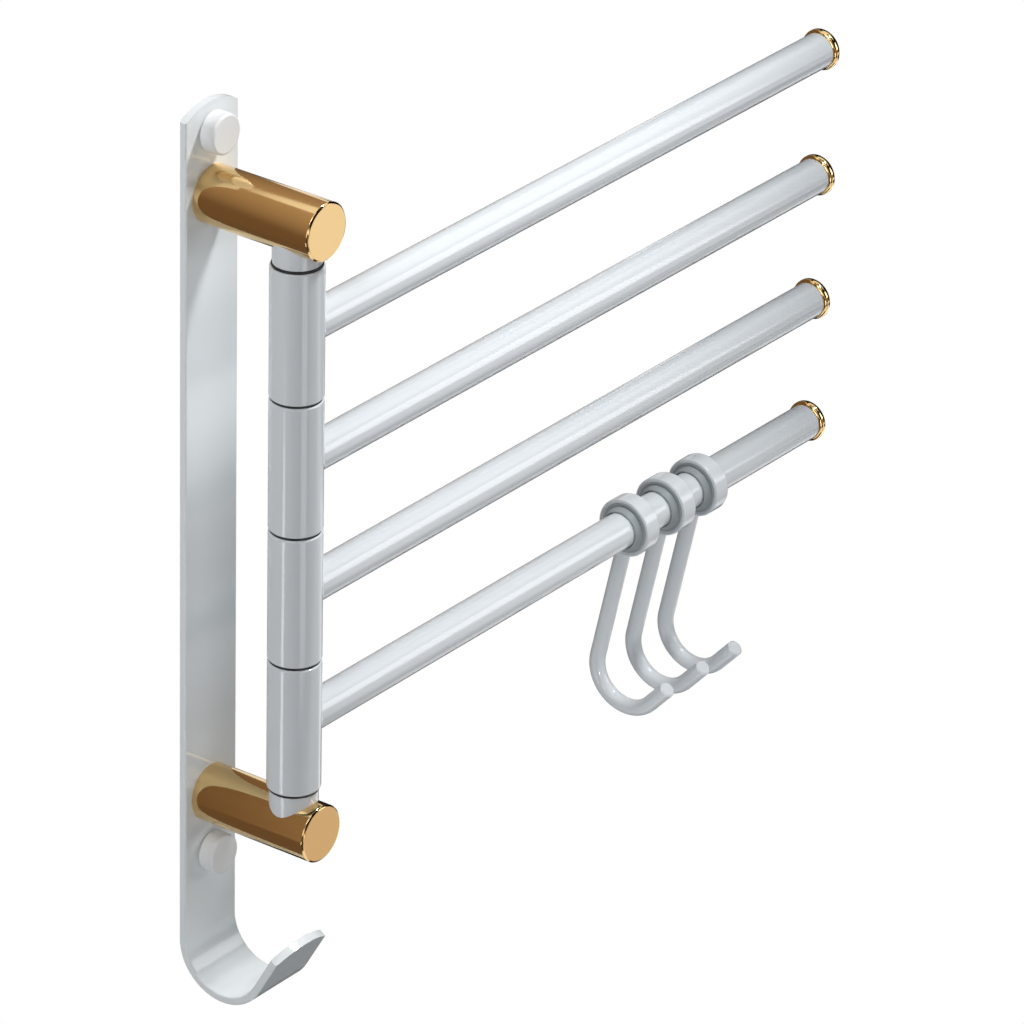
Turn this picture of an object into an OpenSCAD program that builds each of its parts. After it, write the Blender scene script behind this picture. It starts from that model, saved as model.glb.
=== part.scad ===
// Swing arm towel bar: a wall plate with a hook at its foot, two round stand-offs,
// and a post of four sleeves, each carrying a tubular arm that swings about the post.
// Three ring hooks slide along the lowest arm and swing about it.
// Millimetres. +Z is up and the wall is the plane y = 0, with the room on the -Y side.
// The origin is on the wall, midway between the two wall screws and level with the
// middle seam of the post. The arms lie along +X.

/* [Wall plate] */
// Width of the plate
plate_w = 33; // [28:0.5:38]
// Thickness of the plate
plate_t = 3.5; // [3:0.1:5]
// Rounding of the plate's long edges
plate_edge_r = 0.9; // [0.3:0.1:1.2]
// Radius of a wall screw's hole
wall_hole_r = 2.75; // [2:0.05:3]
// From a stand-off's axis to the wall screw next to it
wall_screw_offset = 27.5; // [25:0.5:40]
// From the upper wall screw to the level of the plate's corners
top_margin = 8; // [5:0.5:15]
// Rise of the arched ends above their corners
arch_rise = 5; // [3:0.5:12]

/* [Hook at the plate's foot] */
// From the lower wall screw down to the start of the bend
foot_drop = 36.5; // [20:0.5:60]
// Inner radius of the bend
foot_bend_r = 19; // [12:0.5:25]
// Angle of the bend
foot_turn = 150; // [120:1:160]
// Straight run after the bend, up to the corners of the tip
foot_run = 19; // [8:0.5:25]

/* [Stand-offs] */
// Radius of a stand-off
standoff_r = 12.5; // [11.5:0.1:14]
// Chamfer around a stand-off's end face
standoff_chamfer = 0.7; // [0.3:0.1:1.5]
// From the wall to the post's axis
post_y = 47; // [40:0.5:60]
// From the post's axis to the stand-offs' end faces
standoff_front = 14.8; // [12:0.1:20]

/* [Post] */
// Radius of a sleeve
sleeve_r = 11.25; // [10.75:0.05:12]
// Length of a sleeve
sleeve_len = 57.9; // [40:0.1:80]
// Rounding of a sleeve's rims
sleeve_edge_r = 0.7; // [0.3:0.1:1]
// Radius of a sleeve's bore
sleeve_bore_r = 8.5; // [8.2:0.05:8.7]
// Radius of the seats bored in a sleeve's ends for its bushes
bush_r = 9.5; // [9:0.05:9.8]
// Length of a bush
bush_len = 7; // [4:0.5:12]
// Thickness of a washer
washer_t = 1; // [0.5:0.1:2]
// Radius of a washer
washer_r = 10.6; // [9.8:0.1:10.7]
// Radius of the fixed collars at the post's ends
collar_r = 10.25; // [9.5:0.05:11]
// Height of a collar at its lowest point, from the last washer to the stand-off
collar_h = 4.45; // [2:0.05:12]
// Radius of the pivot shaft
shaft_r = 5; // [4:0.1:5.2]

/* [Arms] */
// From the post's axis to the end of an arm
arm_reach = 361; // [300:1:450]
// Outer radius of the arm tube
tube_r = 8; // [7.5:0.1:8.5]
// Wall of the arm tube
tube_wall = 1.2; // [0.8:0.1:1.6]
// Length of the threaded plug in the tube's root
plug_len = 14; // [12:0.5:20]
// Radius of an end cap's flange
cap_flange_r = 9.2; // [8.7:0.1:10]
// Thickness of an end cap's flange
cap_flange_t = 4; // [3.4:0.1:6]
// Length of an end cap's spigot
cap_spigot_len = 8; // [4:0.5:15]

/* [Ring hooks] */
// Outer radius of a ring
ring_r = 13.1; // [12.8:0.1:15]
// Width of a ring along the arm
ring_w = 8.5; // [7.5:0.1:10]
// Radius of the ring's bore, in which the liner turns
ring_bore_r = 11.4; // [11:0.05:11.8]
// Radial play of the liner on the arm tube
liner_play = 0.35; // [0.2:0.05:0.6]
// How far a liner's tapered noses stand out of its ring
liner_nose = 3; // [1:0.1:4]
// Radius of the hook's rod
rod_r = 3.5; // [2.5:0.1:3.6]
// From the arm's axis down the straight leg to the start of the bend
hook_drop = 68.5; // [50:0.5:80]
// Radius of the bend, to the middle of the rod
hook_bend_r = 16.5; // [12:0.5:20]
// Angle of the bend
hook_turn = 150; // [120:1:165]
// Straight run after the bend
hook_tail = 13.5; // [5:0.5:25]
// Lean at which its liner's grip holds a hook, past the lean at which it would balance
hook_grip_lean = 3.6; // [0:0.1:5]

/* [Screw caps] */
// Radius of a screw cap
cover_r = 8.75; // [8.5:0.05:10]
// Height of a screw cap's face above the plate
cover_h = 7.5; // [6:0.1:12]
// Wall of a screw cap
cover_wall = 1.5; // [1:0.1:1.5]
// Rounding of a screw cap's rim
cover_edge_r = 1.2; // [0.5:0.1:1.4]

/* [Hidden] */
$fn = 72;
arms = 4;
hooks = 3;
// Places of the rings along the arm
hook_place_shares = [0.634, 0.706, 0.771];

// Clearances
over = 1;
run_gap = 0.05;
fit_gap = 0.03;
washer_gap = 0.05;

// A straight run after a bend is this much slimmer all round, and starts this far inside the bend
seam_step = 0.01;
seam_over = 0.3;

// Small sizes of the pieces
standoff_screw_r = 2.5;
standoff_screw_head_r = 4.8;
standoff_screw_len = 16;
screw_sink = 0.2;
screw_recess_r = 1.8;
screw_recess_t = 1.9;
shaft_past_axis = 6;
shaft_chamfer = 0.6;
washer_play = 0.3;
collar_edge_r = 0.3;
arm_screw_r = 2.5;
arm_screw_head_r = 4.2;
arm_screw_head_t = 1.9;
arm_screw_len = 12;
tube_chamfer = 0.4;
cap_edge_r = 1.6;
ring_edge_r = 0.6;
ring_rib_w = 3;
ring_rib_h = 0.5;
ring_step_w = 0.7;
ring_step_t = 0.4;
liner_inset = 0.2;
liner_step = 0.3;
liner_nose_t = 0.55;
liner_root_t = 1.95;
rod_chamfer = 0.6;
cover_base_r = 7.9;
cover_base_t = 0.8;
cover_base_hole_r = 3.2;
cover_base_wall = 1.2;
cover_base_wall_h = 2.4;
cover_fit_gap = 0.05;

// Heights along the post
arm_pitch = sleeve_len + washer_t + 2 * washer_gap;
function arm_z(k) = ((arms + 1) / 2 - k) * arm_pitch;
function washer_z(k) = (arms / 2 + 1 - k) * arm_pitch;
post_half = washer_z(1) + washer_t / 2;
standoff_z = post_half + washer_gap + collar_h + standoff_r;
wall_screw_z = standoff_z + wall_screw_offset;
corner_z = wall_screw_z + top_margin;
foot_z = -wall_screw_z - foot_drop;
standoff_end = post_y + standoff_front;

// Radii that follow from a seat
arch_r = (plate_w * plate_w / 4 + arch_rise * arch_rise) / (2 * arch_rise);
shaft_hole_r = shaft_r + run_gap;
tube_bore_r = tube_r - tube_wall;
liner_bore_r = tube_r + liner_play;
liner_r = ring_bore_r - run_gap;
liner_root_r = liner_bore_r + liner_root_t;
tube_end = arm_reach - cap_flange_t;
cover_bore_r = cover_r - cover_wall;

// Hanging angle of a hook: its leg leans until the rod's centre of mass is under the arm, and a
// little further, where its liner holds it
leg_len = hook_drop - ring_r;
bend_len = hook_bend_r * hook_turn * PI / 180;
bend_mid = hook_bend_r * sin(hook_turn / 2) * 360 / (PI * hook_turn);
tail_y = hook_bend_r * (cos(hook_turn) - 1) - hook_tail * sin(hook_turn) / 2;
tail_z = -hook_drop - hook_bend_r * sin(hook_turn) - hook_tail * cos(hook_turn) / 2;
moment_y = bend_len * (bend_mid * cos(hook_turn / 2) - hook_bend_r) + hook_tail * tail_y;
moment_z = -leg_len * (ring_r + hook_drop) / 2 - bend_len * (hook_drop + bend_mid * sin(hook_turn / 2))
    + hook_tail * tail_z;
hook_lean = atan(moment_y / moment_z) + hook_grip_lean;

white = [0.90, 0.92, 0.94];
gold = [0.78, 0.56, 0.24];
steel = [0.62, 0.63, 0.65];
nylon = [0.86, 0.85, 0.80];
black = [0.08, 0.08, 0.09];
grey = [0.50, 0.53, 0.54];

// Half section of a turned piece, r by h, whose two rims are rounded by e
module turned_half(r, h, e) {
    square([r - e, h]);
    translate([0, e]) square([r, h - 2 * e]);
    for (z = [e, h - e]) translate([r - e, z]) circle(e);
}

// Section of the plate's flat bar, its thickness along the first axis, drawn in by the inset
module bar_section(inset) {
    r = plate_edge_r;
    square([plate_t - 2 * (r + inset), plate_w - 2 * inset], center = true);
    square([plate_t - 2 * inset, plate_w - 2 * (r + inset)], center = true);
    for (a = [-1, 1], b = [-1, 1])
        translate([a * (plate_t / 2 - r - inset), b * (plate_w / 2 - r - inset)]) circle(r);
}

// Straight bar of the given length, with an arched end that rises above it
module arched_bar(length, inset) {
    intersection() {
        linear_extrude(length + arch_rise + over) bar_section(inset);
        union() {
            translate([-plate_t / 2 - over, -plate_w / 2 - over, -over])
                cube([plate_t + 2 * over, plate_w + 2 * over, length]);
            translate([-plate_t / 2 - over, 0, length + arch_rise - arch_r])
                rotate([0, 90, 0]) cylinder(r = arch_r, h = plate_t + 2 * over);
        }
    }
}

// Turns its children so that a turn about their Z starts at +Y and goes down and forward
module bend_frame() {
    rotate([0, -90, 0]) rotate([0, 0, 90]) children();
}

// Lays its children, made along +Z, along +X
module along_arm() {
    rotate([0, 90, 0]) children();
}

// Lays its children, made along +Z, out of the wall
module out_of_wall() {
    rotate([90, 0, 0]) children();
}

// The flat bar on the wall, arched at the top
module plate_bar()
    translate([0, -plate_t / 2, foot_z]) rotate([0, 0, 90]) arched_bar(corner_z - foot_z, 0);

// The bend at the plate's foot
module plate_bend()
    translate([0, -plate_t - foot_bend_r, foot_z]) bend_frame()
        rotate_extrude(angle = foot_turn) translate([foot_bend_r + plate_t / 2, 0]) bar_section(0);

// The hook's tip, straight and arched like the top
module plate_tip()
    translate([0, -plate_t - foot_bend_r, foot_z]) bend_frame() rotate([0, 0, foot_turn])
        translate([foot_bend_r + plate_t / 2, -seam_over, 0]) rotate([-90, 0, 0])
            arched_bar(foot_run + seam_over, seam_step);

// Cone of a countersunk head, whose face lies just below the plate's back
module head_cone(gap)
    translate([0, 0, screw_sink])
        cylinder(r1 = standoff_screw_head_r + gap, r2 = standoff_screw_r + gap,
                 h = standoff_screw_head_r - standoff_screw_r);

module back_plate() color(white) difference() {
    union() {
        plate_bar();
        plate_bend();
        plate_tip();
    }
    for (side = [-1, 1]) {
        translate([0, over, side * wall_screw_z])
            out_of_wall() cylinder(r = wall_hole_r, h = plate_t + 2 * over);
        translate([0, over, side * standoff_z])
            out_of_wall() cylinder(r = standoff_screw_r + fit_gap, h = plate_t + 2 * over);
        translate([0, over, side * standoff_z])
            out_of_wall() cylinder(r = standoff_screw_head_r + fit_gap, h = screw_sink + over);
        translate([0, 0, side * standoff_z]) out_of_wall() head_cone(fit_gap);
    }
}

module standoff(side) color(gold) difference() {
    translate([0, -plate_t, side * standoff_z]) out_of_wall() union() {
        cylinder(r = standoff_r, h = standoff_end - plate_t - standoff_chamfer);
        translate([0, 0, standoff_end - plate_t - standoff_chamfer])
            cylinder(r1 = standoff_r, r2 = standoff_r - standoff_chamfer, h = standoff_chamfer);
    }
    translate([0, -plate_t + over, side * standoff_z])
        out_of_wall() cylinder(r = standoff_screw_r + fit_gap, h = standoff_screw_len + over);
    translate([0, -post_y, side > 0 ? post_half : -standoff_z - shaft_past_axis])
        cylinder(r = shaft_r + fit_gap, h = standoff_z - post_half + shaft_past_axis);
}

module standoff_screw(side) color(steel)
    translate([0, 0, side * standoff_z]) out_of_wall() difference() {
        union() {
            head_cone(0);
            translate([0, 0, screw_sink]) cylinder(r = standoff_screw_r, h = standoff_screw_len);
        }
        cylinder(r = screw_recess_r, h = screw_sink + screw_recess_t, $fn = 6);
    }

module post_collar(side) color(white) difference() {
    translate([0, -post_y, 0]) mirror([0, 0, side > 0 ? 0 : 1])
        translate([0, 0, post_half + washer_gap])
            rotate_extrude() difference() {
                turned_half(collar_r, collar_h + standoff_r, collar_edge_r);
                square([shaft_hole_r, collar_h + standoff_r]);
            }
    translate([0, over, side * standoff_z])
        out_of_wall() cylinder(r = standoff_r, h = standoff_end + 2 * over);
    translate([0, -post_y - collar_r - over, side * standoff_z])
        translate([-collar_r - over, 0, side > 0 ? 0 : -collar_r - standoff_r])
            cube([2 * (collar_r + over), 2 * (collar_r + over), collar_r + standoff_r]);
}

module pivot_shaft() color(steel)
    translate([0, -post_y, -standoff_z - shaft_past_axis + fit_gap]) {
        length = 2 * (standoff_z + shaft_past_axis - fit_gap);
        cylinder(r1 = shaft_r - shaft_chamfer, r2 = shaft_r, h = shaft_chamfer);
        translate([0, 0, shaft_chamfer]) cylinder(r = shaft_r, h = length - 2 * shaft_chamfer);
        translate([0, 0, length - shaft_chamfer])
            cylinder(r1 = shaft_r, r2 = shaft_r - shaft_chamfer, h = shaft_chamfer);
    }

module washer(k) color(black)
    translate([0, -post_y, washer_z(k) - washer_t / 2]) difference() {
        cylinder(r = washer_r, h = washer_t);
        translate([0, 0, -over]) cylinder(r = shaft_r + washer_play, h = washer_t + 2 * over);
    }

module screw_cap(side) color(white)
    translate([0, -plate_t, side * wall_screw_z]) out_of_wall() rotate_extrude() difference() {
        intersection() {
            turned_half(cover_r, cover_h, cover_edge_r);
            translate([0, cover_base_t]) square([cover_r, cover_h]);
        }
        square([cover_bore_r, cover_h - cover_wall]);
    }

module cap_base(side) color(nylon)
    translate([0, -plate_t, side * wall_screw_z]) out_of_wall() rotate_extrude() {
        translate([cover_base_hole_r, 0]) square([cover_base_r - cover_base_hole_r, cover_base_t]);
        translate([cover_bore_r - cover_fit_gap - cover_base_wall, 0])
            square([cover_base_wall, cover_base_t + cover_base_wall_h]);
    }

module sleeve(k) color(white)
    translate([0, -post_y, arm_z(k) - sleeve_len / 2]) difference() {
        rotate_extrude() difference() {
            turned_half(sleeve_r, sleeve_len, sleeve_edge_r);
            square([sleeve_bore_r, sleeve_len]);
            square([bush_r, bush_len]);
            translate([0, sleeve_len - bush_len]) square([bush_r, bush_len]);
        }
        translate([0, 0, sleeve_len / 2]) along_arm() {
            cylinder(r = arm_screw_head_r + fit_gap, h = sleeve_bore_r);
            cylinder(r = arm_screw_r + fit_gap, h = sleeve_r + over);
        }
    }

module bush(k, end) color(nylon)
    translate([0, -post_y, arm_z(k) + (end > 0 ? sleeve_len / 2 - bush_len : -sleeve_len / 2)])
        difference() {
            cylinder(r = bush_r - fit_gap, h = bush_len);
            translate([0, 0, -over]) cylinder(r = shaft_hole_r, h = bush_len + 2 * over);
        }

// Removes the sleeve's round from the root of what butts against it
module coped(k) difference() {
    children();
    translate([0, -post_y, arm_z(k) - sleeve_len / 2]) cylinder(r = sleeve_r, h = sleeve_len);
}

module arm_tube(k) color(white) coped(k)
    translate([0, -post_y, arm_z(k)]) along_arm() difference() {
        union() {
            cylinder(r = tube_r, h = tube_end - tube_chamfer);
            translate([0, 0, tube_end - tube_chamfer])
                cylinder(r1 = tube_r, r2 = tube_r - tube_chamfer, h = tube_chamfer);
        }
        translate([0, 0, -over]) cylinder(r = tube_bore_r, h = tube_end + 2 * over);
    }

module arm_plug(k) color(steel) coped(k)
    translate([0, -post_y, arm_z(k)]) along_arm() difference() {
        cylinder(r = tube_bore_r - fit_gap, h = sleeve_r + plug_len);
        translate([0, 0, -over])
            cylinder(r = arm_screw_r + fit_gap, h = sleeve_r + plug_len + 2 * over);
    }

module arm_screw(k) color(steel)
    translate([sleeve_bore_r, -post_y, arm_z(k)]) along_arm() {
        translate([0, 0, -arm_screw_head_t]) cylinder(r = arm_screw_head_r, h = arm_screw_head_t);
        cylinder(r = arm_screw_r, h = arm_screw_len);
    }

module arm_end_cap(k) color(gold)
    translate([tube_end, -post_y, arm_z(k)]) along_arm() {
        rotate_extrude() turned_half(cap_flange_r, cap_flange_t, cap_edge_r);
        translate([0, 0, -cap_spigot_len])
            cylinder(r = tube_bore_r - fit_gap, h = cap_spigot_len);
    }

// Puts its children, made about the origin, on the lowest arm's axis at the k-th ring
module at_ring(k) translate([hook_place_shares[k - 1] * arm_reach, -post_y, arm_z(arms)]) children();

module hook_liner(k) color(grey) at_ring(k) translate([-ring_w / 2, 0, 0]) along_arm()
    rotate_extrude() difference() {
        polygon([[liner_bore_r, -liner_nose], [liner_bore_r + liner_nose_t, -liner_nose],
                 [liner_root_r, -liner_step], [liner_root_r, liner_inset], [liner_r, liner_inset],
                 [liner_r, ring_w - liner_inset], [liner_root_r, ring_w - liner_inset],
                 [liner_root_r, ring_w + liner_step],
                 [liner_bore_r + liner_nose_t, ring_w + liner_nose],
                 [liner_bore_r, ring_w + liner_nose]]);
        translate([liner_r - ring_rib_h, (ring_w - ring_rib_w) / 2 - run_gap])
            square([ring_rib_h + over, ring_rib_w + 2 * run_gap]);
    }

module hook_ring(k) color(white) at_ring(k) translate([-ring_w / 2, 0, 0]) along_arm()
    rotate_extrude() difference() {
        union() {
            difference() {
                turned_half(ring_r, ring_w, ring_edge_r);
                square([ring_bore_r, ring_w]);
            }
            translate([ring_bore_r - ring_rib_h, (ring_w - ring_rib_w) / 2])
                square([ring_rib_h + ring_step_w, ring_rib_w]);
        }
        for (z = [0, ring_w - ring_step_t])
            translate([ring_bore_r, z]) square([ring_step_w, ring_step_t]);
    }

module hook_rod(k) color(white) at_ring(k) difference() {
    rotate([hook_lean, 0, 0]) {
        translate([0, 0, -hook_drop]) cylinder(r = rod_r, h = leg_len + rod_r);
        translate([0, -hook_bend_r, -hook_drop]) bend_frame() {
            rotate_extrude(angle = hook_turn) translate([hook_bend_r, 0]) circle(rod_r);
            rotate([0, 0, hook_turn]) translate([hook_bend_r, -seam_over, 0]) rotate([-90, 0, 0]) {
                straight = hook_tail + seam_over - rod_chamfer;
                cylinder(r = rod_r - seam_step, h = straight);
                translate([0, 0, straight])
                    cylinder(r1 = rod_r - seam_step, r2 = rod_r - rod_chamfer, h = rod_chamfer);
            }
        }
    }
    translate([-ring_w, 0, 0]) along_arm() cylinder(r = ring_r, h = 2 * ring_w);
}

back_plate();
standoff(1);  // upper_standoff
standoff(-1);  // lower_standoff
standoff_screw(1);  // upper_standoff_screw
standoff_screw(-1);  // lower_standoff_screw
post_collar(1);  // upper_post_collar
post_collar(-1);  // lower_post_collar
pivot_shaft();
screw_cap(1);  // upper_screw_cap
screw_cap(-1);  // lower_screw_cap
cap_base(1);  // upper_cap_base
cap_base(-1);  // lower_cap_base
for (k = [1:arms + 1]) washer(k);
for (k = [1:arms]) {
    sleeve(k);
    bush(k, 1);
    bush(k, -1);
    arm_tube(k);
    arm_plug(k);
    arm_screw(k);
    arm_end_cap(k);
}
for (k = [1:hooks]) {
    hook_liner(k);
    hook_ring(k);
    hook_rod(k);
}
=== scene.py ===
import math

import bmesh
import bpy
from bpy.props import FloatProperty, FloatVectorProperty, PointerProperty
from mathutils import Matrix, Vector


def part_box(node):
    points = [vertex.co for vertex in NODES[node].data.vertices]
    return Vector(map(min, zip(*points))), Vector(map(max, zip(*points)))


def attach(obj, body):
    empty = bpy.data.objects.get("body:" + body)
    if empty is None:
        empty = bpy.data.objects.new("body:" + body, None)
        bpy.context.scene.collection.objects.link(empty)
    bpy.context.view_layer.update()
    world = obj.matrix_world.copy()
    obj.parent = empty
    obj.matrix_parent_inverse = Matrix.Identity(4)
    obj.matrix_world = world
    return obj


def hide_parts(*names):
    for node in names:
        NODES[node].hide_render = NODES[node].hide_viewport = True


bl_info = {
    "name": "Swing Arm Towel Bar",
    "version": (1, 0, 0),
    "blender": (4, 5, 0),
    "location": "View3D > Sidebar > Towel Bar",
    "description": "Finishes a wall rack of four swinging arms and three ring hooks",
    "category": "Object",
}

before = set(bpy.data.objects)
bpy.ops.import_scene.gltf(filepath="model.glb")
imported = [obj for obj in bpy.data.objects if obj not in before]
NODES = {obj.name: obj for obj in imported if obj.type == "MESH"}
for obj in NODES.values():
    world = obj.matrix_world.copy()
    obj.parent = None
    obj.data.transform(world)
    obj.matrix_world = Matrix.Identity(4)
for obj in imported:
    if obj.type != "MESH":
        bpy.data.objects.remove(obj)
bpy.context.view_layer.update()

MM = 0.001
ARMS = 4
HOOKS = 3
SIDES = ("upper", "lower")

# How finely round shapes are cut, and the angles from which an edge is kept sharp or chamfered
TURN_STEPS = 96
AROUND = [math.radians(360) * i / TURN_STEPS for i in range(TURN_STEPS)]
QUARTER_STEPS = 12
FILLET_STEPS = 6
BEND_STEPS = 48
ROD_SIDES = 64
CREASE = math.radians(40)
TIP_CREASE = math.radians(60)


# Helpers for colours, shader nodes and meshes

def linear(hex_colour, alpha=1.0):
    """The linear colour of an sRGB hex value such as '#dde1e4'."""
    parts = [int(hex_colour[i:i + 2], 16) / 255 for i in (1, 3, 5)]
    curve = [p / 12.92 if p <= 0.04045 else ((p + 0.055) / 1.055) ** 2.4 for p in parts]
    return (*curve, alpha)


def add(tree, kind, inputs=None, **settings):
    """Adds a node, sets its settings, then links or sets its inputs by name or number."""
    made = tree.nodes.new(kind)
    for key, value in settings.items():
        setattr(made, key, value)
    for key, value in (inputs or {}).items():
        if isinstance(value, bpy.types.NodeSocket):
            tree.links.new(value, made.inputs[key])
        else:
            made.inputs[key].default_value = value
    return made


def new_material(name):
    """An empty material with its tree and its Principled shader joined to the output."""
    made = bpy.data.materials.new(name)
    made.use_nodes = True
    tree = made.node_tree
    tree.nodes.clear()
    shader = add(tree, "ShaderNodeBsdfPrincipled")
    add(tree, "ShaderNodeOutputMaterial", {"Surface": shader.outputs["BSDF"]})
    return made, tree, shader


def link(tree, shader, **sockets):
    """Links sockets to the shader's inputs, whose names are given with _ for a space."""
    for name, socket in sockets.items():
        tree.links.new(socket, shader.inputs[name.replace("_", " ")])


def dress(node_name, material):
    """Gives a CAD node its material."""
    slots = NODES[node_name].data.materials
    if len(slots) == 0:
        slots.append(material)
    for i in range(len(slots)):
        slots[i] = material


def middle(node_name):
    """The centre of a CAD node's box."""
    low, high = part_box(node_name)
    return (Vector(low) + Vector(high)) / 2


def extent(node_name):
    """The three sides of a CAD node's box."""
    low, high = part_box(node_name)
    return Vector(high) - Vector(low)


def body(name, shape, material):
    """The object of a closed shape, smooth but for its sharp edges."""
    bmesh.ops.recalc_face_normals(shape, faces=shape.faces)
    for face in shape.faces:
        face.smooth = True
    for edge in shape.edges:
        edge.smooth = edge.calc_face_angle() < CREASE
    mesh = bpy.data.meshes.new(name)
    shape.to_mesh(mesh)
    shape.free()
    mesh.materials.append(material)
    made = bpy.data.objects.new(name, mesh)
    bpy.context.scene.collection.objects.link(made)
    return made


def join(shape, loop_a, loop_b):
    """Adds the band of faces between two loops of as many points."""
    for i in range(len(loop_a)):
        j = (i + 1) % len(loop_a)
        shape.faces.new((loop_a[i], loop_a[j], loop_b[j], loop_b[i]))


def loft(name, loops, material):
    """A closed ring of a mesh, whose faces join each loop of points to the next."""
    shape = bmesh.new()
    rings = [[shape.verts.new(p) for p in loop] for loop in loops]
    for a, b in zip(rings, rings[1:] + rings[:1]):
        join(shape, a, b)
    return body(name, shape, material)


def turned(name, profile, start, material):
    """A body turned about +X from the start, along a profile of (x, radius) points, with flat ends."""
    shape = bmesh.new()
    rings = [[shape.verts.new(start + Vector((x, r * math.cos(a), r * math.sin(a)))) for a in AROUND]
             for x, r in profile]
    for a, b in zip(rings, rings[1:]):
        join(shape, a, b)
    shape.faces.new(rings[0])
    shape.faces.new(rings[-1])
    return body(name, shape, material)


def quarter(x, r, radius, from_turn):
    """Points of a quarter circle about (x, r), from a turn in degrees on."""
    return [(x - radius * math.cos(t), r + radius * math.sin(t))
            for t in (math.radians(from_turn + 90 * i / QUARTER_STEPS) for i in range(QUARTER_STEPS + 1))]


def root_fillet(name, branch_r, base_r, fillet_r, place, material):
    """The film of paint that rounds the corner where a round bar meets a round base.

    The place turns +X into the bar's direction and +Z into the base's axis, which it meets square.
    The film laps a little into both of them, so that no gap shows."""
    lap = fillet_r / 4
    corner = [(branch_r + fillet_r * (1 - math.sin(t)), fillet_r * (1 - math.cos(t)))
              for t in (math.radians(90) * i / FILLET_STEPS for i in range(FILLET_STEPS + 1))]
    corner += [(branch_r - lap, fillet_r), (branch_r - lap, -lap), (branch_r + fillet_r, -lap)]
    loops = [[place @ Vector((math.sqrt(base_r ** 2 - (r * math.cos(a)) ** 2) + height,
                              r * math.cos(a), r * math.sin(a))) for a in AROUND]
             for r, height in corner]
    return loft(name, loops, material)


def rod_tree():
    """A node tree that turns a bent path into a round rod with flat ends."""
    tree = bpy.data.node_groups.new("bent rod", "GeometryNodeTree")
    sockets = {}
    for name, kind in (("Path", "NodeSocketGeometry"), ("Rod Radius", "NodeSocketFloat"),
                       ("Bend Radius", "NodeSocketFloat"), ("Finish", "NodeSocketMaterial")):
        sockets[name] = tree.interface.new_socket(name, in_out="INPUT", socket_type=kind).identifier
    tree.interface.new_socket("Rod", in_out="OUTPUT", socket_type="NodeSocketGeometry")
    given = add(tree, "NodeGroupInput").outputs
    path = add(tree, "GeometryNodeMeshToCurve", {"Mesh": given["Path"]})
    bend = add(tree, "GeometryNodeFilletCurve", {
        "Curve": path.outputs["Curve"], "Count": BEND_STEPS, "Radius": given["Bend Radius"]}, mode="POLY")
    section = add(tree, "GeometryNodeCurvePrimitiveCircle", {
        "Resolution": ROD_SIDES, "Radius": given["Rod Radius"]})
    rod = add(tree, "GeometryNodeCurveToMesh", {
        "Curve": bend.outputs["Curve"], "Profile Curve": section.outputs["Curve"], "Fill Caps": True})
    angle = add(tree, "GeometryNodeInputMeshEdgeAngle")
    sharp = add(tree, "FunctionNodeCompare", {
        "A": angle.outputs["Unsigned Angle"], "B": CREASE}, operation="GREATER_THAN")
    smooth = add(tree, "GeometryNodeSetShadeSmooth", {"Geometry": rod.outputs["Mesh"]})
    crisp = add(tree, "GeometryNodeSetShadeSmooth", {
        "Geometry": smooth.outputs["Geometry"], "Selection": sharp.outputs["Result"],
        "Shade Smooth": False}, domain="EDGE")
    real = add(tree, "GeometryNodeRealizeInstances", {"Geometry": crisp.outputs["Geometry"]})
    finish = add(tree, "GeometryNodeSetMaterial", {
        "Geometry": real.outputs["Geometry"], "Material": given["Finish"]})
    add(tree, "NodeGroupOutput", {"Rod": finish.outputs["Geometry"]})
    return tree, sockets


def grown(name, points, tree, sockets, values, tip_chamfer):
    """The plain mesh that a node tree grows on a path of points, with its two ends chamfered."""
    path = bpy.data.meshes.new(name + "_path")
    path.from_pydata(points, [(i, i + 1) for i in range(len(points) - 1)], [])
    made = bpy.data.objects.new(name, path)
    bpy.context.scene.collection.objects.link(made)
    grow = made.modifiers.new("grow", "NODES")
    grow.node_group = tree
    for key, value in values.items():
        grow[sockets[key]] = value
    edge = made.modifiers.new("edge", "BEVEL")
    edge.width = tip_chamfer
    edge.segments = 1
    edge.limit_method = "ANGLE"
    edge.angle_limit = TIP_CREASE
    edge.harden_normals = False
    bpy.context.view_layer.update()
    mesh = bpy.data.meshes.new_from_object(made.evaluated_get(bpy.context.evaluated_depsgraph_get()))
    made.modifiers.clear()
    made.data = mesh
    return made


# Sizes and colours that a user would change

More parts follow.
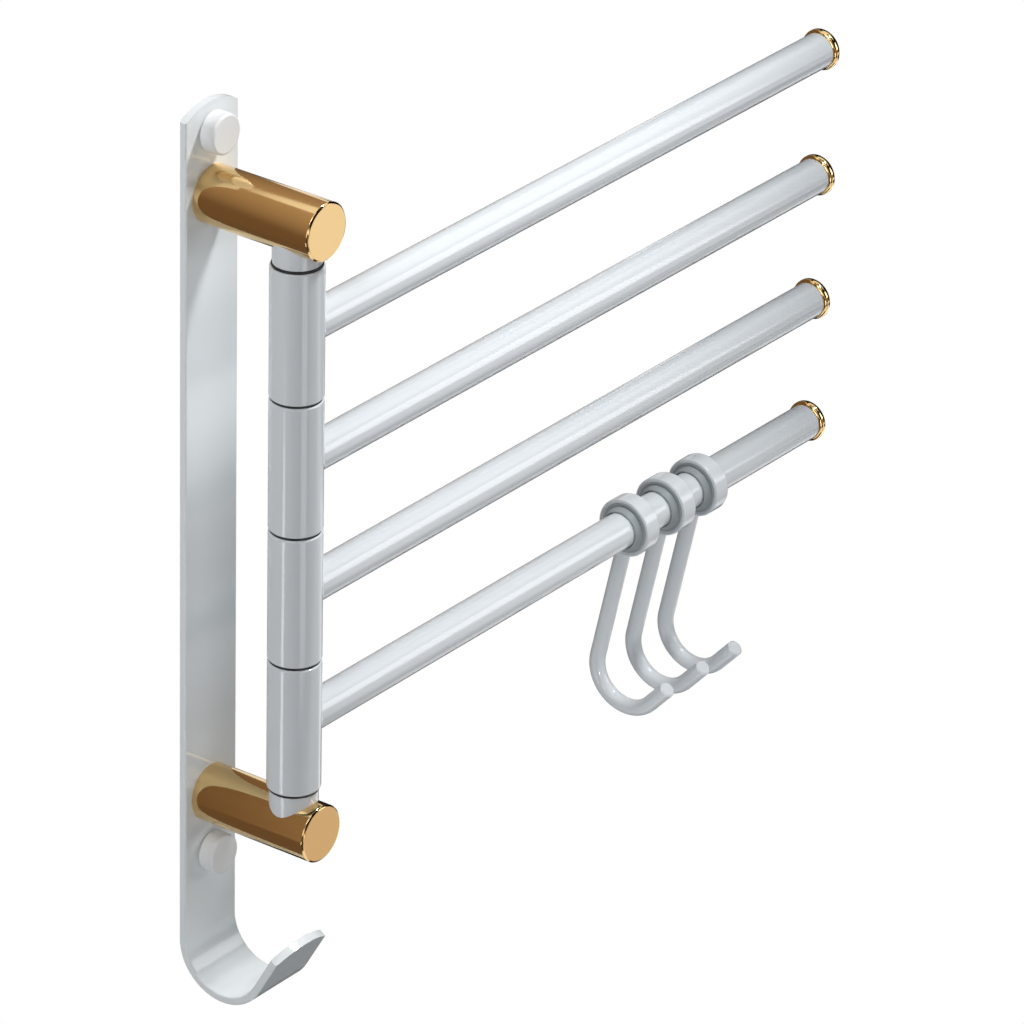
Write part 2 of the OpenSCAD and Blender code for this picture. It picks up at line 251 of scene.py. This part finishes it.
class RackColours(bpy.types.PropertyGroup):
    """Colours of the rack's finishes."""

    # The plate's coat is drawn lighter than the arms' white paint: painted light, standing in for the
    # brighter light that falls on the plate.
    coat: FloatVectorProperty(
        name="Coat", description="Colour of the plate's white powder coat", subtype="COLOR", size=4,
        min=0, max=1, default=linear("#eef3f5"))
    paint: FloatVectorProperty(
        name="Paint", description="Colour of the post's, the arms' and the hooks' white paint",
        subtype="COLOR", size=4, min=0, max=1, default=linear("#e0e5e9"))
    gold: FloatVectorProperty(
        name="Gold", description="Colour of the polished gold plating", subtype="COLOR", size=4,
        min=0, max=1, default=linear("#f1ce93"))
    cap: FloatVectorProperty(
        name="Cap", description="Colour of the plastic screw caps", subtype="COLOR", size=4,
        min=0, max=1, default=linear("#f1f2f3"))
    liner: FloatVectorProperty(
        name="Liner", description="Colour of the ring hooks' liners", subtype="COLOR", size=4,
        min=0, max=1, default=linear("#a5acaf"))
    washer: FloatVectorProperty(
        name="Washer", description="Colour of the washers in the post", subtype="COLOR", size=4,
        min=0, max=1, default=linear("#20242a"))
    nylon: FloatVectorProperty(
        name="Nylon", description="Colour of the undyed nylon bushes", subtype="COLOR", size=4,
        min=0, max=1, default=linear("#dcd8ca"))
    zinc: FloatVectorProperty(
        name="Zinc", description="Colour of the zinc plated screws and shaft", subtype="COLOR", size=4,
        min=0, max=1, default=linear("#b9bcc2"))
    aluminium: FloatVectorProperty(
        name="Aluminium", description="Colour of the bare aluminium plugs", subtype="COLOR", size=4,
        min=0, max=1, default=linear("#c9cbce"))


class RackSizes(bpy.types.PropertyGroup):
    """Sizes of the details that the finish adds."""

    paint_ripple: FloatProperty(
        name="Paint Ripple", description="Width of the orange peel's waves in the paint",
        subtype="DISTANCE", default=1.6 * MM, min=0.5 * MM, max=5 * MM)
    coat_ripple: FloatProperty(
        name="Coat Ripple", description="Width of the orange peel's waves in the powder coat",
        subtype="DISTANCE", default=2.4 * MM, min=0.5 * MM, max=5 * MM)
    cap_t: FloatProperty(
        name="Cap Thickness", description="Thickness of an arm's end cap outside the tube",
        subtype="DISTANCE", default=4 * MM, min=3.4 * MM, max=6 * MM)
    cap_edge_r: FloatProperty(
        name="Cap Edge", description="Radius of the rounded edges of an arm's end cap",
        subtype="DISTANCE", default=1.6 * MM, min=0.5 * MM, max=1.7 * MM)
    cap_spigot_r: FloatProperty(
        name="Cap Spigot", description="Radius of an end cap's spigot inside the tube",
        subtype="DISTANCE", default=6.77 * MM, min=6 * MM, max=7.2 * MM)
    arm_fillet: FloatProperty(
        name="Arm Fillet", description="Radius of the paint film in the corner where an arm meets its sleeve",
        subtype="DISTANCE", default=0.7 * MM, min=0.2 * MM, max=1.5 * MM)
    rod_fillet: FloatProperty(
        name="Rod Fillet", description="Radius of the paint film where a hook's rod meets its ring",
        subtype="DISTANCE", default=0.5 * MM, min=0.2 * MM, max=1 * MM)
    rod_r: FloatProperty(
        name="Rod Radius", description="Radius of a hook's rod",
        subtype="DISTANCE", default=3.49 * MM, min=2.5 * MM, max=3.6 * MM)
    rod_chamfer: FloatProperty(
        name="Rod Chamfer", description="Chamfer around the tip of a hook's rod",
        subtype="DISTANCE", default=0.6 * MM, min=0.2 * MM, max=1 * MM)
    hook_drop: FloatProperty(
        name="Hook Drop", description="From the arm's axis down the straight leg to the start of the bend",
        subtype="DISTANCE", default=68.5 * MM, min=50 * MM, max=80 * MM)
    hook_bend_r: FloatProperty(
        name="Hook Bend", description="Radius of a hook's bend, to the middle of the rod",
        subtype="DISTANCE", default=16.5 * MM, min=12 * MM, max=20 * MM)
    hook_turn: FloatProperty(
        name="Hook Turn", description="Angle of a hook's bend",
        subtype="ANGLE", default=math.radians(150), min=math.radians(120), max=math.radians(165))
    hook_tail: FloatProperty(
        name="Hook Tail", description="Straight run after a hook's bend",
        subtype="DISTANCE", default=13.5 * MM, min=5 * MM, max=25 * MM)
    hook_grip_lean: FloatProperty(
        name="Grip Lean", description="Lean at which its liner's grip holds a hook, past its balance",
        subtype="ANGLE", default=math.radians(3.6), min=0, max=math.radians(5))


# Materials, by a short name

MATERIALS = {}


def white_finish(name, colour, ripple):
    """Gloss paint or powder coat on metal: a smooth film with a clear sheen.

    Its orange peel, waves of 1 to 3 mm but only microns deep, blurs reflections a little."""
    made, tree, shader = new_material(name)
    shader.inputs["Base Color"].default_value = colour
    shader.inputs["IOR"].default_value = 1.5
    place = add(tree, "ShaderNodeTexCoord")
    peel = add(tree, "ShaderNodeTexNoise", {
        "Vector": place.outputs["Object"], "Scale": 1 / ripple, "Detail": 2.0, "Roughness": 0.4})
    sheen = add(tree, "ShaderNodeTexNoise", {
        "Vector": place.outputs["Object"], "Scale": 1 / (40 * MM), "Detail": 3.0})
    rough = add(tree, "ShaderNodeMapRange", {
        "Value": sheen.outputs["Fac"], "To Min": 0.09, "To Max": 0.14})
    bump = add(tree, "ShaderNodeBump", {
        "Height": peel.outputs["Fac"], "Strength": 0.06, "Distance": 0.005 * MM})
    link(tree, shader, Roughness=rough.outputs["Result"], Normal=bump.outputs["Normal"])
    return made


def polished_gold(colour):
    """Gold titanium plating on polished metal: mirror bright, with softened edges.

    Its hair-fine polishing marks are too fine to show, so they are drawn as a haze of 6 mm patches."""
    made, tree, shader = new_material("polished_gold_plating")
    shader.inputs["Base Color"].default_value = colour
    shader.inputs["Metallic"].default_value = 1.0
    place = add(tree, "ShaderNodeTexCoord")
    haze = add(tree, "ShaderNodeTexNoise", {
        "Vector": place.outputs["Object"], "Scale": 1 / (6 * MM), "Detail": 4.0})
    rough = add(tree, "ShaderNodeMapRange", {
        "Value": haze.outputs["Fac"], "To Min": 0.06, "To Max": 0.12})
    edge = add(tree, "ShaderNodeBevel", {"Radius": 0.5 * MM}, samples=8)
    link(tree, shader, Roughness=rough.outputs["Result"], Normal=edge.outputs["Normal"])
    return made


def moulded_plastic(name, colour, roughness, grain):
    """Injection moulded plastic: soft sheen over the fine texture of its mould.

    A mould's spark grain is nearer 0.1 mm, so it is drawn a few times coarser, to show at all."""
    made, tree, shader = new_material(name)
    shader.inputs["Base Color"].default_value = colour
    shader.inputs["IOR"].default_value = 1.53
    place = add(tree, "ShaderNodeTexCoord")
    texture = add(tree, "ShaderNodeTexNoise", {
        "Vector": place.outputs["Object"], "Scale": 1 / grain, "Detail": 3.0})
    rough = add(tree, "ShaderNodeMapRange", {
        "Value": texture.outputs["Fac"], "To Min": roughness - 0.06, "To Max": roughness + 0.06})
    bump = add(tree, "ShaderNodeBump", {
        "Height": texture.outputs["Fac"], "Strength": 0.2, "Distance": 0.02 * MM})
    link(tree, shader, Roughness=rough.outputs["Result"], Normal=bump.outputs["Normal"])
    return made


def bare_metal(name, colour, roughness, grain):
    """Turned or plated metal left bare: a satin sheen with fine machining marks.

    The marks are nearer 0.1 mm, so they are drawn a few times coarser, to show at all."""
    made, tree, shader = new_material(name)
    shader.inputs["Base Color"].default_value = colour
    shader.inputs["Metallic"].default_value = 1.0
    place = add(tree, "ShaderNodeTexCoord")
    marks = add(tree, "ShaderNodeTexNoise", {
        "Vector": place.outputs["Object"], "Scale": 1 / grain, "Detail": 5.0})
    rough = add(tree, "ShaderNodeMapRange", {
        "Value": marks.outputs["Fac"], "To Min": roughness - 0.08, "To Max": roughness + 0.08})
    link(tree, shader, Roughness=rough.outputs["Result"])
    return made


class RACK_OT_materials(bpy.types.Operator):
    """Make the rack's materials"""

    bl_idname = "rack.materials"
    bl_label = "Materials"

    def execute(self, context):
        colours = context.scene.rack_colours
        sizes = context.scene.rack_sizes
        # The plate's coat is drawn lighter than the paint: painted light on the plate.
        MATERIALS["coat"] = white_finish("white_powder_coat", colours.coat, sizes.coat_ripple)
        MATERIALS["paint"] = white_finish("white_spray_paint", colours.paint, sizes.paint_ripple)
        MATERIALS["gold"] = polished_gold(colours.gold)
        MATERIALS["cap"] = moulded_plastic("abs_cap_plastic", colours.cap, roughness=0.22, grain=0.4 * MM)
        MATERIALS["liner"] = moulded_plastic(
            "acetal_liner_plastic", colours.liner, roughness=0.42, grain=0.3 * MM)
        MATERIALS["washer"] = moulded_plastic(
            "nylon_washer_plastic", colours.washer, roughness=0.5, grain=0.3 * MM)
        MATERIALS["nylon"] = moulded_plastic("undyed_nylon", colours.nylon, roughness=0.48, grain=0.4 * MM)
        MATERIALS["zinc"] = bare_metal("zinc_plated_steel", colours.zinc, roughness=0.3, grain=0.5 * MM)
        MATERIALS["aluminium"] = bare_metal(
            "turned_aluminium", colours.aluminium, roughness=0.35, grain=0.3 * MM)
        return {"FINISHED"}


class RACK_OT_wall_plate(bpy.types.Operator):
    """Finish the wall plate, its stand-offs and its screws"""

    bl_idname = "rack.wall_plate"
    bl_label = "Wall Plate"

    def execute(self, context):
        dress("back_plate", MATERIALS["coat"])
        for side in SIDES:
            dress(f"{side}_standoff", MATERIALS["gold"])
            dress(f"{side}_standoff_screw", MATERIALS["zinc"])
            dress(f"{side}_screw_cap", MATERIALS["cap"])
            dress(f"{side}_cap_base", MATERIALS["nylon"])
        return {"FINISHED"}


class RACK_OT_post(bpy.types.Operator):
    """Finish the post's shaft, collars and washers"""

    bl_idname = "rack.post"
    bl_label = "Post"

    def execute(self, context):
        dress("pivot_shaft", MATERIALS["zinc"])
        for side in SIDES:
            dress(f"{side}_post_collar", MATERIALS["paint"])
        for k in range(1, ARMS + 2):
            dress(f"washer_{k}", MATERIALS["washer"])
        return {"FINISHED"}


def end_cap(k, sizes, material):
    """An arm's end cap: a round bead outside the tube and a spigot inside it."""
    node = f"arm_end_cap_{k}"
    length, across, _ = extent(node)
    start = middle(node) - Vector((length / 2, 0, 0))
    inner_x, rim, edge = length - sizes.cap_t, across / 2 - sizes.cap_edge_r, sizes.cap_edge_r
    profile = [(0, sizes.cap_spigot_r), (inner_x, sizes.cap_spigot_r)]
    profile += quarter(inner_x + edge, rim, edge, 0) + quarter(length - edge, rim, edge, 90)
    return turned(f"turned_cap_{k}", profile, start, material)


class RACK_OT_arms(bpy.types.Operator):
    """Finish the swinging arms"""

    bl_idname = "rack.arms"
    bl_label = "Arms"

    def execute(self, context):
        sizes = context.scene.rack_sizes
        for k in range(1, ARMS + 1):
            dress(f"sleeve_{k}", MATERIALS["paint"])
            dress(f"arm_tube_{k}", MATERIALS["paint"])
            dress(f"arm_plug_{k}", MATERIALS["aluminium"])
            dress(f"arm_screw_{k}", MATERIALS["zinc"])
            for side in SIDES:
                dress(f"{side}_bush_{k}", MATERIALS["nylon"])
            tube_r, sleeve_r = extent(f"arm_tube_{k}").y / 2, extent(f"sleeve_{k}").y / 2
            film = root_fillet(f"arm_fillet_{k}", tube_r, sleeve_r, sizes.arm_fillet,
                               Matrix.Translation(middle(f"sleeve_{k}")), MATERIALS["paint"])
            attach(film, f"arm_{k}")
            cap = end_cap(k, sizes, MATERIALS["gold"])
            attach(cap, f"arm_{k}")
            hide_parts(f"arm_end_cap_{k}")
        return {"FINISHED"}


def hanging_lean(sizes, ring_r):
    """How far a hook's leg leans: until the rod's centre of mass is under the arm, and its liner's grip."""
    turn = sizes.hook_turn
    drop, bend_r, tail = sizes.hook_drop, sizes.hook_bend_r, sizes.hook_tail
    leg = drop - ring_r
    bend = bend_r * turn
    bend_mid = bend_r * math.sin(turn / 2) / (turn / 2)
    tail_y = bend_r * (math.cos(turn) - 1) - tail * math.sin(turn) / 2
    tail_z = -drop - bend_r * math.sin(turn) - tail * math.cos(turn) / 2
    moment_y = bend * (bend_mid * math.cos(turn / 2) - bend_r) + tail * tail_y
    moment_z = -leg * (ring_r + drop) / 2 - bend * (drop + bend_mid * math.sin(turn / 2)) + tail * tail_z
    return math.atan(moment_y / moment_z) + sizes.hook_grip_lean


class RACK_OT_ring_hooks(bpy.types.Operator):
    """Finish the ring hooks on the lowest arm"""

    bl_idname = "rack.ring_hooks"
    bl_label = "Ring Hooks"

    def execute(self, context):
        sizes = context.scene.rack_sizes
        tree, sockets = rod_tree()
        ring_r = extent("hook_ring_1").y / 2
        corner = sizes.hook_bend_r * math.tan(sizes.hook_turn / 2)
        run = corner + sizes.hook_tail
        top = Vector((0, 0, sizes.rod_chamfer - ring_r))
        elbow = Vector((0, 0, -sizes.hook_drop - corner))
        tip = elbow - Vector((0, math.sin(sizes.hook_turn), math.cos(sizes.hook_turn))) * run
        lean = Matrix.Rotation(hanging_lean(sizes, ring_r), 4, "X")
        onto_ring = lean @ Matrix(((0, 0, 1, 0), (0, 1, 0, 0), (-1, 0, 0, 0), (0, 0, 0, 1)))
        values = {"Rod Radius": sizes.rod_r, "Bend Radius": sizes.hook_bend_r, "Finish": MATERIALS["paint"]}
        for k in range(1, HOOKS + 1):
            dress(f"hook_liner_{k}", MATERIALS["liner"])
            dress(f"hook_ring_{k}", MATERIALS["paint"])
            place = Matrix.Translation(middle(f"hook_ring_{k}"))
            points = [place @ lean @ p for p in (top, elbow, tip)]
            rod = grown(f"bent_rod_{k}", points, tree, sockets, values, sizes.rod_chamfer)
            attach(rod, f"hook_{k}")
            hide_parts(f"hook_rod_{k}")
            film = root_fillet(f"rod_fillet_{k}", sizes.rod_r, ring_r, sizes.rod_fillet,
                               place @ onto_ring, MATERIALS["paint"])
            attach(film, f"hook_{k}")
        return {"FINISHED"}


# Stage: floor, light and camera

CAMERA_PLACE = Vector((-2.40067, -1.95094, 1.55777))
CAMERA_TURN = math.radians(53.208)
CAMERA_DIP = math.radians(26.822)
CAMERA_ROLL = math.radians(1.151)
SENSOR_WIDTH = 36.0
FOCAL_LENGTH = 300.27
FLOOR_LEVEL = -0.62
FLOOR_HALF = 3.0
CARD_LEVEL = FLOOR_LEVEL + 0.01
STRIP_LEVEL = FLOOR_LEVEL + 0.02
ROOM_STRENGTH = 0.06
LIT_PLACE = (0.1, -0.03, 0.03)

# Area lights, aimed at the lit place: name, place, side and power
SOFTBOXES = (
    ("left_back", (-0.6, 0.9, 0.3), 0.6, 2.6),
    ("left_side", (-1.1, -0.15, 0.2), 0.5, 2.6),
    ("right_back", (0.8, 0.9, 0.3), 0.6, 0.8),
    ("right_front", (0.9, -0.9, 0.3), 0.5, 2.9),
    ("left_front", (-0.75, -0.75, 0.3), 0.5, 0.5),
    ("left_top", (-0.7, -0.1, 0.9), 0.5, 2.8),
    ("low_front", (-0.3, -0.9, -0.35), 0.35, 0.9))

# Spot lights: name, place, target, cone, radius and power
SPOTS = (
    ("key", (0.55, -0.42, 1.06), (-0.07, -0.03, -0.02), math.radians(50), 0.1, 54.0),
    ("hook_light", (-0.35, -0.75, -0.2), (0.25, -0.06, -0.19), math.radians(20), 0.05, 7.0))

# Flat cards around the rack, which glow and light nothing, so that mirror-bright surfaces show them as
# painted reflections: the dark and brown cards paint dark reflections into the gold and the paint, and the
# white strips paint highlight lines along the sleeves and the arms.
# Name, two opposite corners, colour, and strength where it isn't 1. The brown cards behind it shade to a
# second colour, between two distances from the shade's centre, so that the lower stand-off shows a darker
# painted reflection than the upper one.
DARK = "#17120e"
BROWN = ("#705b49", "#b09a84")
SHADE_CENTRE = (0, 0.6, -0.135)
SHADE_NEAR = 0.93
SHADE_FAR = 1.22
CARDS = (
    ("brown_card", (-1.3, 0.6, CARD_LEVEL), (-0.15, 0.6, 1.13), BROWN),
    ("brown_right_card", (-0.15, 0.6, CARD_LEVEL), (0.92, 0.6, 1.06), BROWN),
    ("brown_floor_card", (-1.3, 0.02, CARD_LEVEL), (-0.05, 0.6, CARD_LEVEL), "#6a5848"),
    ("dark_card", (-0.05, 0.06, CARD_LEVEL), (1.7, 0.9, CARD_LEVEL), DARK),
    ("foot_card", (0.15, -0.45, CARD_LEVEL), (0.5, 0.06, CARD_LEVEL), DARK),
    ("cap_wall_card", (1.0, 0.62, -0.5), (2.4, 0.62, 1.3), DARK),
    ("cap_floor_card", (1.27, -0.95, CARD_LEVEL), (2.6, 0.05, CARD_LEVEL), DARK),
    ("front_low_card", (-1.3, -1.9, CARD_LEVEL), (2.4, -1.9, 0.3), "#8c7862"),
    ("front_card", (-1.3, -1.9, 0.3), (2.4, -1.9, 2.4), DARK),
    ("cap_top_card", (-0.2, -1.9, 2.4), (1.6, -0.25, 2.4), DARK),
    ("cap_front_card", (-0.25, -1.9, CARD_LEVEL), (0.95, -0.98, CARD_LEVEL), "#4a3a28"),
    ("cap_back_card", (0.25, 0.59, 1.1), (1.0, 0.59, 1.6), DARK),
    ("cap_corner_card", (0.62, 0.59, 0.93), (1.0, 0.59, 1.1), DARK),
    ("cap_side_card", (2.4, -1.9, CARD_LEVEL), (2.4, 0.9, 1.8), DARK),
    ("low_strip_card", (0.55, -0.25, STRIP_LEVEL), (1.24, -0.02, STRIP_LEVEL), "#ffffff", 1.8),
    ("end_card", (0.5, -0.9, CARD_LEVEL), (0.98, -0.35, CARD_LEVEL), "#dacec5"),
    ("left_floor_card", (-1.3, -1.8, CARD_LEVEL), (-0.25, 0.02, CARD_LEVEL), "#4a4038"),
    ("left_card", (-1.3, -1.8, CARD_LEVEL), (-1.3, 0.62, 1.6), "#57493c"),
    ("strip_card", (-1.8, 0.1, STRIP_LEVEL), (-0.8, 0.3, STRIP_LEVEL), "#ffffff", 5.0))


def aim(obj, target):
    """Turns a light so that it shines on the target."""
    obj.rotation_euler = (Vector(target) - obj.location).to_track_quat("-Z", "Y").to_euler()


def light(name, kind, place, target, power, **settings):
    """A light of a kind, aimed at a target."""
    data = bpy.data.lights.new(name, kind)
    data.energy = power
    for key, value in settings.items():
        setattr(data, key, value)
    made = bpy.data.objects.new(name, data)
    made.location = place
    aim(made, target)
    bpy.context.scene.collection.objects.link(made)


def before_light(tree):
    """1 for a ray that no matt surface has spread yet, and 0 for one that only brings light."""
    path = add(tree, "ShaderNodeLightPath")
    return add(tree, "ShaderNodeMath", {
        0: path.outputs["Diffuse Depth"], 1: 0.5}, operation="LESS_THAN").outputs["Value"]


def seen_directly(tree):
    """1 for a ray from the eye, a mirror or glass, and 0 for one that only brings light."""
    path = add(tree, "ShaderNodeLightPath")
    seen = add(tree, "ShaderNodeMath", {
        0: path.outputs["Is Camera Ray"], 1: path.outputs["Is Glossy Ray"]}, operation="MAXIMUM")
    seen = add(tree, "ShaderNodeMath", {
        0: seen.outputs["Value"], 1: path.outputs["Is Transmission Ray"]}, operation="MAXIMUM")
    seen = add(tree, "ShaderNodeMath", {
        0: seen.outputs["Value"], 1: before_light(tree)}, operation="MULTIPLY")
    return seen.outputs["Value"]


def studio_world(strength):
    """A room that looks white and lights the rack with a dim, cool grey."""
    world = bpy.data.worlds.new("studio")
    world.use_nodes = True
    tree = world.node_tree
    tree.nodes.clear()
    room = add(tree, "ShaderNodeBackground", {"Color": linear("#dfe6ee"), "Strength": strength})
    white = add(tree, "ShaderNodeBackground", {"Color": linear("#ffffff"), "Strength": 1.0})
    mixed = add(tree, "ShaderNodeMixShader", {
        "Fac": seen_directly(tree), 1: room.outputs["Background"], 2: white.outputs["Background"]})
    add(tree, "ShaderNodeOutputWorld", {"Surface": mixed.outputs["Shader"]})
    bpy.context.scene.world = world


def sheet(name, low, high, material):
    """A flat stage sheet between two opposite corners, which share their x, y or z."""
    flat = [a == b for a, b in zip(low, high)].index(True)
    u, v = (axis for axis in range(3) if axis != flat)
    corners = [list(low) for _ in range(4)]
    corners[1][u] = corners[2][u] = high[u]
    corners[2][v] = corners[3][v] = high[v]
    mesh = bpy.data.meshes.new(name)
    mesh.from_pydata(corners, [], [(0, 1, 2, 3)])
    mesh.materials.append(material)
    made = bpy.data.objects.new(name, mesh)
    bpy.context.scene.collection.objects.link(made)
    return made


def pale_floor():
    """A pale matt floor that looks white and keeps the rack's shadow out of the picture's way."""
    made, tree, shader = new_material("pale_floor")
    shader.inputs["Base Color"].default_value = linear("#e8eaec")
    shader.inputs["Roughness"].default_value = 0.8
    white = add(tree, "ShaderNodeEmission", {"Color": linear("#ffffff"), "Strength": 1.0})
    mixed = add(tree, "ShaderNodeMixShader", {
        "Fac": seen_directly(tree), 1: shader.outputs["BSDF"], 2: white.outputs["Emission"]})
    output = next(n for n in tree.nodes if n.type == "OUTPUT_MATERIAL")
    tree.links.new(mixed.outputs["Shader"], output.inputs["Surface"])
    return made


def painted_reflection_card(name, low, high, colour, strength=1.0):
    """A glowing card that only mirror-bright surfaces show and that lights nothing: a painted reflection, not
    a lamp.

    A pair of colours shades from the first to the second, away from the rack."""
    made, tree, shader = new_material(name + "_painted_reflection")
    shader.inputs["Base Color"].default_value = linear("#000000")
    shader.inputs["Specular IOR Level"].default_value = 0
    made.cycles.emission_sampling = "NONE"
    glow = add(tree, "ShaderNodeMath", {0: before_light(tree), 1: strength}, operation="MULTIPLY")
    link(tree, shader, Emission_Strength=glow.outputs["Value"])
    if isinstance(colour, str):
        shader.inputs["Emission Color"].default_value = linear(colour)
    else:
        near_colour, far_colour = colour
        place = add(tree, "ShaderNodeTexCoord")
        away = add(tree, "ShaderNodeVectorMath", {
            0: place.outputs["Object"], 1: SHADE_CENTRE}, operation="DISTANCE")
        rise = add(tree, "ShaderNodeMapRange", {
            "Value": away.outputs["Value"], "From Min": SHADE_NEAR, "From Max": SHADE_FAR})
        shade = add(tree, "ShaderNodeMix", {
            "Factor": rise.outputs["Result"], "A": linear(near_colour), "B": linear(far_colour)},
            data_type="RGBA")
        link(tree, shader, Emission_Color=shade.outputs["Result"])
    placed = sheet(name, low, high, made)
    placed.visible_camera = False
    placed.visible_diffuse = False
    placed.visible_shadow = False
    placed.visible_transmission = False


def studio_camera():
    """The camera that the photograph's view gives, without shift."""
    forward = Vector((math.sin(CAMERA_TURN) * math.cos(CAMERA_DIP),
                      math.cos(CAMERA_TURN) * math.cos(CAMERA_DIP), -math.sin(CAMERA_DIP)))
    level = Vector((math.cos(CAMERA_TURN), -math.sin(CAMERA_TURN), 0))
    upright = level.cross(forward)
    right = math.cos(CAMERA_ROLL) * level + math.sin(CAMERA_ROLL) * upright
    up = math.cos(CAMERA_ROLL) * upright - math.sin(CAMERA_ROLL) * level
    data = bpy.data.cameras.new("camera")
    data.sensor_width = SENSOR_WIDTH
    data.lens = FOCAL_LENGTH
    data.clip_start = 0.1
    data.clip_end = 20
    made = bpy.data.objects.new("camera", data)
    turn = Matrix((right, up, -forward)).transposed()
    made.matrix_world = Matrix.Translation(CAMERA_PLACE) @ turn.to_4x4()
    bpy.context.scene.collection.objects.link(made)
    bpy.context.scene.camera = made


class RACK_OT_stage(bpy.types.Operator):
    """Set the pale floor, the studio light and the camera"""

    bl_idname = "rack.stage"
    bl_label = "Stage"

    def execute(self, context):
        studio_world(ROOM_STRENGTH)
        studio_camera()
        sheet("floor", (-FLOOR_HALF, -FLOOR_HALF, FLOOR_LEVEL),
              (FLOOR_HALF, FLOOR_HALF, FLOOR_LEVEL), pale_floor())
        for row in CARDS:
            painted_reflection_card(*row)
        for name, place, target, cone, radius, power in SPOTS:
            light(name, "SPOT", place, target, power, spot_size=cone, spot_blend=1.0, shadow_soft_size=radius)
        for name, place, side, power in SOFTBOXES:
            light(name, "AREA", place, LIT_PLACE, power, shape="SQUARE", size=side)
        context.scene.view_settings.view_transform = "Standard"
        return {"FINISHED"}


class RACK_PT_panel(bpy.types.Panel):
    """Panel in the 3D view's sidebar"""

    bl_label = "Swing Arm Towel Bar"
    bl_idname = "RACK_PT_panel"
    bl_space_type = "VIEW_3D"
    bl_region_type = "UI"
    bl_category = "Towel Bar"

    def draw(self, context):
        layout = self.layout
        for group in (context.scene.rack_colours, context.scene.rack_sizes):
            for name in group.__annotations__:
                layout.prop(group, name)
        for step in STEPS:
            layout.operator(step)


CLASSES = (RackColours, RackSizes, RACK_OT_materials, RACK_OT_wall_plate, RACK_OT_post, RACK_OT_arms,
           RACK_OT_ring_hooks, RACK_OT_stage, RACK_PT_panel)
STEPS = ("rack.materials", "rack.wall_plate", "rack.post", "rack.arms", "rack.ring_hooks", "rack.stage")


def register():
    for cls in CLASSES:
        bpy.utils.register_class(cls)
    bpy.types.Scene.rack_colours = PointerProperty(type=RackColours)
    bpy.types.Scene.rack_sizes = PointerProperty(type=RackSizes)


def unregister():
    del bpy.types.Scene.rack_sizes
    del bpy.types.Scene.rack_colours
    for cls in reversed(CLASSES):
        bpy.utils.unregister_class(cls)


def main():
    register()
    bpy.ops.rack.materials()
    bpy.ops.rack.wall_plate()
    bpy.ops.rack.post()
    bpy.ops.rack.arms()
    bpy.ops.rack.ring_hooks()
    bpy.ops.rack.stage()


if __name__ == "__main__":
    main()
